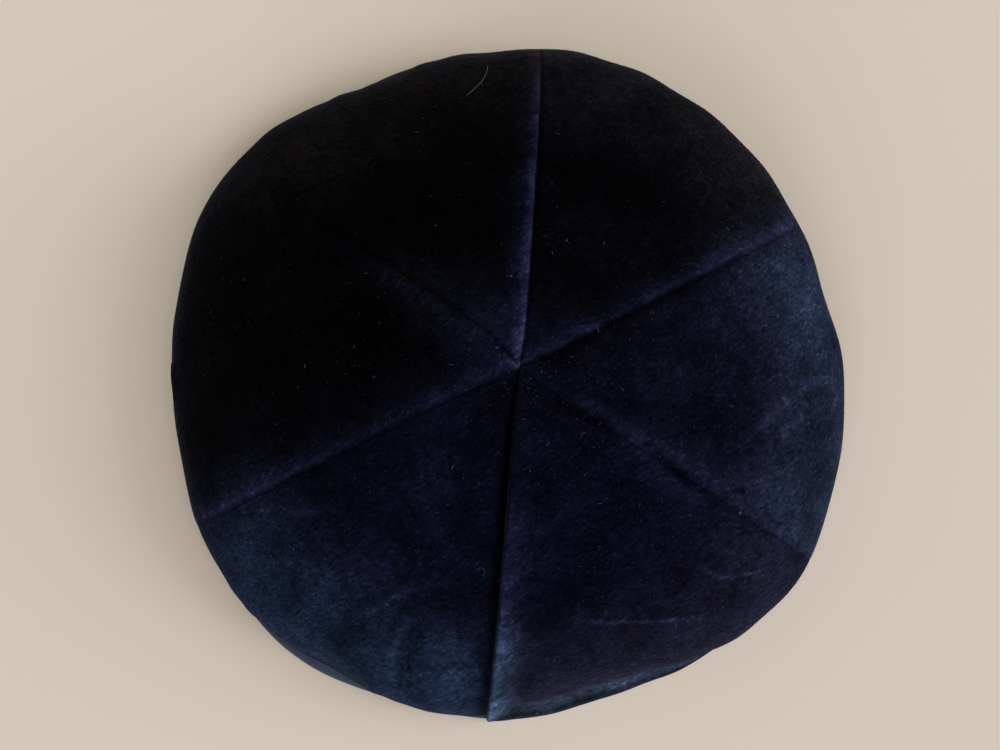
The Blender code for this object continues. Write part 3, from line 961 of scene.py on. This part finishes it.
def plain_material(name, colour, roughness, grain, wavers):
    """A matt finish whose colour wavers by a share over a grain of a size in metres."""
    material, tree = new_material(name)
    place = add_node(tree, "TexCoord").outputs["Object"]
    noise = add_node(tree, "TexNoise", Vector=place, Scale=1.0 / grain, Detail=3.0)
    share = add_node(
        tree, "MapRange", Value=noise, n1=0.3, n2=0.7, n3=1.0 - wavers, n4=1.0 + wavers
    )
    scaled = add_node(tree, "VectorMath", {"operation": "SCALE"}, n0=tuple(colour), Scale=share)
    add_finish(tree, Base_Color=scaled, Roughness=roughness, Specular_IOR_Level=0.2)
    return material


def tubes(paths, radii, sides):
    """Points and faces of closed tubes along paths, all with the same number of points.

    Each ring is the path's point plus the radius times the cosine and sine of the side's angle
    along two directions square to the path; both ends close to a point.
    """
    count, steps = paths.shape[:2]
    heading = np.gradient(paths, axis=1)
    heading /= np.linalg.norm(heading, axis=2, keepdims=True)
    guide = np.where(np.abs(heading[..., 2:3]) > 0.8, (1.0, 0.0, 0.0), (0.0, 0.0, 1.0))
    beside = np.cross(heading, guide)
    beside /= np.linalg.norm(beside, axis=2, keepdims=True)
    over = np.cross(beside, heading)
    turn = (np.arange(sides) * math.tau / sides)[:, None]
    ring = beside[:, :, None] * np.cos(turn) + over[:, :, None] * np.sin(turn)
    body = (paths[:, :, None] + radii[:, :, None, None] * ring).reshape(count, steps * sides, 3)
    head_point = paths[:, :1] - heading[:, :1] * radii[:, :1, None]
    tail_point = paths[:, -1:] + heading[:, -1:] * radii[:, -1:, None]
    points = np.concatenate((body, head_point, tail_point), 1)
    first = np.arange(sides)
    second = (first + 1) % sides
    last = (steps - 1) * sides
    head = np.stack((np.full(sides, steps * sides), first, second), -1)
    tail = np.stack((np.full(sides, steps * sides + 1), last + second, last + first), -1)
    offsets = np.arange(count)[:, None, None] * (steps * sides + 2)
    quads = (ring_quads(steps, sides, False)[None] + offsets).reshape(-1, 4)
    ends = (np.concatenate((head, tail))[None] + offsets).reshape(-1, 3)
    return points.reshape(-1, 3), [quads, ends]


def outward_faces(groups, faces):
    """The faces of small closed groups of points, turned where they look at the group's middle."""
    corners = groups.reshape(-1, 3)[faces]
    middle = np.repeat(groups.mean(1), len(faces) // len(groups), 0)
    normal = np.cross(corners[:, 1] - corners[:, 0], corners[:, 2] - corners[:, 0])
    inward = np.einsum("ij,ij->i", normal, corners.mean(1) - middle) < 0.0
    return np.where(inward[:, None], faces[:, ::-1], faces)


def wall_at(size, bearing, height, inset):
    """Distance from the axis of a panel's skin at a height above its lower edge."""
    half_width, half_height, centre, _ = section(size, bearing, inset)
    level = (lower_edge(size, bearing) + height - centre) / half_height
    distance = half_width * np.sqrt(1.0 - np.square(level))
    return distance - peek_recess(size, bearing, height) - hem_recess(size, bearing, height)


def tape_profile(size, bearing):
    """Closed section of the tape at each bearing: a foot under the edge and an inner leg.

    Each corner point becomes two, a quarter of the way along the sides that meet there.
    """
    edge = lower_edge(size, bearing)
    base = edge - size.tape_gap - size.tape_wall
    floor = edge - size.tape_gap
    half = 0.5 * size.tape_depth
    turned = TAPE_TURN * size.tape_wall
    outside = wall_at(size, bearing, 0.0, 0.0) + size.tape_peek * rim_level("peek", bearing)
    in_low, in_half, in_top = (
        wall_at(size, bearing, height, size.wall) - size.tape_gap
        for height in (0.0, half, size.tape_depth)
    )
    corners = (
        (outside - turned, base),
        (outside, base + turned),
        (outside, floor - turned),
        (outside - turned, floor),
        (in_low, floor),
        (in_half, edge + half),
        (in_top, edge + size.tape_depth),
        (in_top - size.tape_wall, edge + size.tape_depth - turned),
        (in_half - size.tape_wall, edge + half),
        (in_low - size.tape_wall, base + turned),
        (in_low - size.tape_wall + turned, base),
    )
    points = np.stack([placed(distance, bearing, height) for distance, height in corners], 1)
    after = np.roll(points, -1, 1)
    cut = np.stack((0.75 * points + 0.25 * after, 0.25 * points + 0.75 * after), 2)
    return cut.reshape(len(points), -1, 3)


def surface_height(size, x, y):
    """Points of the outer skin under places seen from above, by stepping down the section.

    The share down the section is corrected four times by the distance that is still missing.
    """
    first_seam = math.radians(SEAMS[0][0])
    bearing = np.mod(np.arctan2(y, x) - first_seam, math.tau) + first_seam
    aim = np.hypot(x, y)
    down = np.arcsin(np.clip(aim / (0.5 * size.diameter), 0.0, 0.98)) / QUARTER_TURN
    starts = np.stack([seam_bearing(size, seam, down) for seam in range(len(SEAMS) + 1)])
    panel = np.clip((bearing[None] >= starts).sum(0) - 1, 0, len(SEAMS) - 1)
    points = np.zeros((len(x), 3))
    for number in np.unique(panel):
        mine = panel == number
        share = down[mine]
        for _ in range(4):
            start = seam_bearing(size, number, share)
            finish = seam_bearing(size, number + 1, share)
            across = np.clip((bearing[mine] - start) / (finish - start), 0.004, 0.996)
            found, _ = panel_surface(size, number, across, share, 0.0)
            missing = aim[mine] - np.hypot(found[:, 0] - AXIS[0], found[:, 1] - AXIS[1])
            share = np.clip(share + missing / (0.5 * size.diameter) * 0.8, 0.01, 0.97)
        points[mine] = found
    return points


def lint_paths(size, x, y, length, heading, curl):
    """Curled threads that lie on the velvet: short steps along a heading that turns."""
    share = np.linspace(0.0, 1.0, LINT_STEPS)[None]
    angle = heading[:, None] + curl[:, None] * share
    move = length[:, None] / (LINT_STEPS - 1)
    path_x = x[:, None] + np.cumsum(np.cos(angle) * move, 1)
    path_y = y[:, None] + np.cumsum(np.sin(angle) * move, 1)
    points = surface_height(size, path_x.ravel(), path_y.ravel()).reshape(len(x), LINT_STEPS, 3)
    points[..., 2] += BIT_LIFT * (1.0 + 0.8 * np.sin(math.pi * share))
    return points


def hair_path(size):
    """The light hair near the top: its points joined by straight lines and laid on the velvet."""
    hair = np.array(HAIR) * 0.5 * size.diameter
    share = np.linspace(0.0, len(HAIR) - 1.0, LINT_STEPS)
    x, y = (np.interp(share, np.arange(len(HAIR)), hair[:, way]) for way in (0, 1))
    strand = surface_height(size, x, y)[None]
    strand[..., 2] += HAIR_LIFT
    return strand


def tuft_paths(size, draw):
    """The loose fibres at the left of the rim: arcs just off the wall, each a little astray."""
    share = np.linspace(0.0, 1.0, LINT_STEPS)[None]
    first = TUFT["from"] + 1.5 * draw.random((TUFT["fibres"], 1))
    last = TUFT["to"] - 2.5 * draw.random((TUFT["fibres"], 1))
    bearing = np.radians(first + (last - first) * share)
    above = TUFT["above"] + 0.0008 * draw.standard_normal((TUFT["fibres"], 1)) + 0.001 * share
    off = 0.00045 * draw.random((TUFT["fibres"], 1)) * np.sin(math.pi * share)
    distance = wall_at(size, bearing, above, 0.0) + off
    return placed(distance, bearing, lower_edge(size, bearing) + above)


def soft_lamp(name, bearing, elevation, width, strength, colour):
    """A far lamp at a bearing and elevation, as wide as it looks from the cap, in degrees."""
    lamp = bpy.data.lights.new(name, "SUN")
    lamp.angle = math.radians(width)
    lamp.energy = strength
    lamp.color = tuple(linear_colour(colour))
    item = bpy.data.objects.new(name, lamp)
    bpy.context.scene.collection.objects.link(item)
    item.rotation_euler = (
        QUARTER_TURN - math.radians(elevation), 0.0, math.radians(bearing) + QUARTER_TURN
    )


def settings():
    """The size and colour groups of the open scene."""
    scene = bpy.context.scene
    return scene.kippah_sizes, scene.kippah_colours


class KIPPAH_OT_panels(bpy.types.Operator):
    """Make the six velvet panels"""

    bl_idname = "kippah.panels"
    bl_label = "Velvet panels"

    def execute(self, context):
        size, colours = settings()
        finishes = [velvet_material(colours), backing_material(colours)]
        outer_shape = (PANEL_ROWS, PANEL_COLUMNS)
        inner_shape = (PANEL_ROWS // 2, PANEL_COLUMNS // 2)
        for panel in range(len(SEAMS)):
            outer, shade, flat = panel_grid(size, panel, *outer_shape, 0.0)
            inner, _, inner_flat = panel_grid(size, panel, *inner_shape, size.wall)
            outer, shade, inner = (part.reshape(-1, 3) for part in (outer, shade, inner))
            out_loop = outline_loop(*outer_shape)
            in_loop = len(outer) + outline_loop(*inner_shape)
            ends = (out_loop[::2], out_loop[1::2], np.roll(out_loop, -2)[::2])
            faces = [
                grid_quads(*outer_shape, 0, False),
                grid_quads(*inner_shape, len(outer), True),
                np.stack((*ends, np.roll(in_loop, -1), in_loop), -1),
            ]
            slots = np.repeat((0, 1, 0), [len(part) for part in faces])
            points = np.concatenate((outer, inner))
            flats = np.concatenate((flat.reshape(-1, 2), inner_flat.reshape(-1, 2)))
            shades = np.concatenate((shade, np.tile(shade.mean(0), (len(inner), 1))))
            name = f"velvet_panel_{panel + 1}"
            item = make_mesh(name, points, faces, finishes, slots, flats, shades)
            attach(item, "root")
            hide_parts(f"panel_{panel + 1}")
        return {"FINISHED"}


class KIPPAH_OT_binding(bpy.types.Operator):
    """Make the binding tape under the lower edge, and the stitches that hold it"""

    bl_idname = "kippah.binding"
    bl_label = "Binding tape and stitches"

    def execute(self, context):
        size, colours = settings()
        bearing = np.linspace(0.0, math.tau, TAPE_SECTIONS, endpoint=False)
        profile = tape_profile(size, bearing)
        sections, corners = profile.shape[:2]
        around = bearing[:, None] * 0.5 * size.diameter + np.zeros((sections, corners))
        steps = np.linalg.norm(np.roll(profile, -1, 1) - profile, axis=2)
        flat = np.stack((around, np.cumsum(steps, 1) - steps), -1).reshape(-1, 2)
        # The tape is painted dark as painted shadow under the lifted edge
        dull = np.sqrt(lifted_share(bearing))[:, None]
        shade = np.array(colours.tape) * (1.0 - dull) + linear_colour(SHADOWED_TAPE) * dull
        item = make_mesh(
            "binding_tape", profile.reshape(-1, 3), [ring_quads(sections, corners, True)],
            [tape_material()], flat=flat, shade=np.repeat(shade, corners, 0),
        )
        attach(item, "root")
        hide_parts("edge_binding")
        add_stitches(size, colours)
        return {"FINISHED"}


def add_stitches(size, colours):
    """The row of stitches on the tape's inner leg: short arched tubes end to end."""
    count = int(math.pi * size.diameter / STITCH["pitch"])
    share = np.linspace(0.0, STITCH["run"], 5)[None]
    bearing = np.arange(count)[:, None] * math.tau / count + share * math.tau / count
    height = STITCH["height"] * size.tape_depth
    distance = wall_at(size, bearing, height, size.wall) - size.tape_gap - size.tape_wall
    distance = distance - STITCH["sink"] * np.sin(math.pi * share / STITCH["run"]) + STITCH["out"]
    paths = placed(distance, bearing, lower_edge(size, bearing) + height)
    points, faces = tubes(paths, np.full(paths.shape[:2], STITCH["radius"]), 6)
    thread = plain_material("spun_polyester_thread", colours.thread, 0.6, 0.0006, 0.1)
    item = make_mesh("binding_stitches", points, faces, [thread])
    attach(item, "root")


class KIPPAH_OT_pile(bpy.types.Operator):
    """Make the fibres of the pile that stand out of the velvet"""

    bl_idname = "kippah.pile"
    bl_label = "Velvet pile"

    def execute(self, context):
        size, colours = settings()
        draw = np.random.default_rng(11)
        each = PILE["fibres"] // len(SEAMS)
        parts = []
        shades = []
        for panel in range(len(SEAMS)):
            down = np.clip(np.arccos(1.0 - draw.random(each)) / QUARTER_TURN, *PILE_DOWN)
            across = PILE_ACROSS[0] + PILE_ACROSS[1] * draw.random(each)
            shifted = np.clip(across + PILE_STEP, 0.0, 1.0)
            points, shade = panel_surface(size, panel, across, down, 0.0)
            lower, _ = panel_surface(size, panel, across, down + PILE_STEP, 0.0)
            beside, _ = panel_surface(size, panel, shifted, down, 0.0)
            along = lower - points
            along /= np.linalg.norm(along, axis=1, keepdims=True)
            side = beside - points
            side /= np.maximum(np.linalg.norm(side, axis=1, keepdims=True), 1e-9)
            out = np.cross(along, side)
            out /= np.linalg.norm(out, axis=1, keepdims=True)
            lean = along * (PILE["lean"] + PILE["stray"] * draw.standard_normal((each, 1)))
            lean = lean + side * PILE["stray"] * draw.standard_normal((each, 1))
            rise = PILE["rise"] + 0.16 * draw.random((each, 1))
            length = size.pile_length * (0.6 + 0.8 * draw.random((each, 1)))
            root = points - PILE["root"] * out
            wide = PILE["half_width"] * (0.7 + 0.6 * draw.random((each, 1)))
            corners = (
                root + wide * side,
                root - wide * side,
                root + wide * 0.9 * along + wide * out,
                points + length * (lean + rise * out),
            )
            parts.append(np.stack(corners, 1))
            # Each fibre takes the velvet's colour under it, with its painted light and shade, at a
            # random brightness
            bright = PILE["bright"] * np.exp(PILE["uneven"] * draw.standard_normal((each, 1)))
            shades.append(np.repeat(bright * shade, len(corners), 0))
        groups = np.concatenate(parts)
        solid = np.array(((0, 1, 2), (0, 3, 1), (1, 3, 2), (2, 3, 0)))
        faces = (solid[None] + 4 * np.arange(len(groups))[:, None, None]).reshape(-1, 3)
        item = make_mesh(
            "velvet_pile", groups.reshape(-1, 3), [outward_faces(groups, faces)],
            [fibre_material("cotton_pile_fibre", colours)], shade=np.concatenate(shades),
        )
        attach(item, "root")
        return {"FINISHED"}


class KIPPAH_OT_lint(bpy.types.Operator):
    """Make the lint and the hair that cling to the velvet"""

    bl_idname = "kippah.lint"
    bl_label = "Lint and hair"

    def execute(self, context):
        size, colours = settings()
        mean_radius = 0.5 * size.diameter
        bits = LINT["bits"]
        draw = np.random.default_rng(5)
        radius = mean_radius * (0.03 + 0.87 * draw.random(bits) ** 0.85)
        gathered = draw.random(bits) < LINT["gathered"]
        near = math.radians(LINT["bearing"]) + LINT["stray"] * draw.standard_normal(bits)
        turn = np.where(gathered, near, math.tau * draw.random(bits))
        loose = {
            "x": (radius * np.cos(turn), mean_radius),
            "y": (radius * np.sin(turn), mean_radius),
            "length": (MILLIMETRE * (0.22 + 0.8 * draw.random(bits) ** 4.0), MILLIMETRE),
            "heading": (math.tau * draw.random(bits), math.radians(1.0)),
            "curl": (math.radians(120.0) * draw.standard_normal(bits), math.radians(1.0)),
        }
        paths = lint_paths(size, *(
            np.concatenate((values, scale * column(MARKS, MARK_COLUMNS, name)))
            for name, (values, scale) in loose.items()
        ))
        tuft = tuft_paths(size, draw)
        hair = hair_path(size)
        radii = np.full(paths.shape[:2], BIT_RADIUS)
        radii[-len(MARKS):] = MARK_RADIUS
        bright = np.exp(0.55 * draw.standard_normal(len(paths)) - 1.0)
        bright[-len(MARKS):] = column(MARKS, MARK_COLUMNS, "bright")
        points = []
        faces = []
        shades = []
        total = 0
        for threads, widths, sides, shade in (
            (paths, radii, 4, bright[:, None] * np.array(colours.lint)),
            (hair, np.full(hair.shape[:2], HAIR_RADIUS), 4, linear_colour(HAIR_SHADE)[None]),
            (tuft, np.full(tuft.shape[:2], TUFT_RADIUS), 5, linear_colour(TUFT_SHADE)[None]),
        ):
            more, more_faces = tubes(threads, widths, sides)
            faces += [part + total for part in more_faces]
            total += len(more)
            points.append(more)
            shades.append(np.repeat(shade, len(more) // len(shade), 0))
        item = make_mesh(
            "lint", np.concatenate(points), faces, [fibre_material("cotton_lint", colours)],
            shade=np.concatenate(shades),
        )
        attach(item, "root")
        return {"FINISHED"}


class KIPPAH_OT_studio(bpy.types.Operator):
    """Make the floor, the lamps and the camera"""

    bl_idname = "kippah.studio"
    bl_label = "Studio"

    def execute(self, context):
        _, colours = settings()
        scene = context.scene
        corners = FLOOR_HALF * np.array(((-1.0, -1.0, 0), (1.0, -1.0, 0), (1.0, 1.0, 0), (-1.0, 1.0, 0)))
        corners[:, 2] = -FLOOR_DROP
        paint = plain_material("matt_painted_floor", colours.floor, 0.9, 0.3, 0.01)
        floor = make_mesh("studio_floor", corners, [np.array(((0, 1, 2, 3),))], [paint])
        floor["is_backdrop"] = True
        for name, values in LAMPS.items():
            soft_lamp(name, *values)
        world = bpy.data.worlds.new("studio_air")
        world.use_nodes = True
        back = world.node_tree.nodes["Background"]
        back.inputs["Color"].default_value = rgba(linear_colour(AIR_COLOUR))
        back.inputs["Strength"].default_value = AIR_STRENGTH
        scene.world = world
        lens = bpy.data.cameras.new("photo_camera")
        lens.lens = CAMERA_LENS
        lens.sensor_width = 36.0
        lens.clip_start = 0.01
        camera = bpy.data.objects.new("photo_camera", lens)
        scene.collection.objects.link(camera)
        place = Vector(CAMERA_PLACE)
        back_axis = (place - Vector(CAMERA_AIM)).normalized()
        guide = Vector((math.sin(CAMERA_ROLL), math.cos(CAMERA_ROLL), 0.0))
        right = guide.cross(back_axis).normalized()
        turned = Matrix((right, back_axis.cross(right), back_axis)).transposed().to_4x4()
        camera.matrix_world = Matrix.Translation(place) @ turned
        scene.camera = camera
        scene.view_settings.view_transform = "Standard"
        return {"FINISHED"}


OPERATORS = (KIPPAH_OT_panels, KIPPAH_OT_binding, KIPPAH_OT_pile, KIPPAH_OT_lint, KIPPAH_OT_studio)


class KIPPAH_PT_build(bpy.types.Panel):
    """Lists the steps that build the cap"""

    bl_label = "Kippah"
    bl_idname = "KIPPAH_PT_build"
    bl_space_type = "VIEW_3D"
    bl_region_type = "UI"
    bl_category = "Kippah"

    def draw(self, context):
        for step in OPERATORS:
            self.layout.operator(step.bl_idname)
        for group in (context.scene.kippah_sizes, context.scene.kippah_colours):
            box = self.layout.box()
            for name in group.__annotations__:
                box.prop(group, name)


CLASSES = (KippahSizes, KippahColours, *OPERATORS, KIPPAH_PT_build)


def register():
    """Register the classes and hang the two groups on the scene."""
    for item in CLASSES:
        bpy.utils.register_class(item)
    bpy.types.Scene.kippah_sizes = bpy.props.PointerProperty(type=KippahSizes)
    bpy.types.Scene.kippah_colours = bpy.props.PointerProperty(type=KippahColours)


def unregister():
    """Take the groups and the classes away again."""
    del bpy.types.Scene.kippah_colours
    del bpy.types.Scene.kippah_sizes
    for item in reversed(CLASSES):
        bpy.utils.unregister_class(item)


def main():
    """Build every piece and the studio."""
    register()
    bpy.ops.kippah.panels()
    bpy.ops.kippah.binding()
    bpy.ops.kippah.pile()
    bpy.ops.kippah.lint()
    bpy.ops.kippah.studio()
    boxes = {"cad": CAD_BOX, "visual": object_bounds()}
    boxes = {name: [list(corner) for corner in box] for name, box in boxes.items()}


if __name__ == "__main__":
    main()
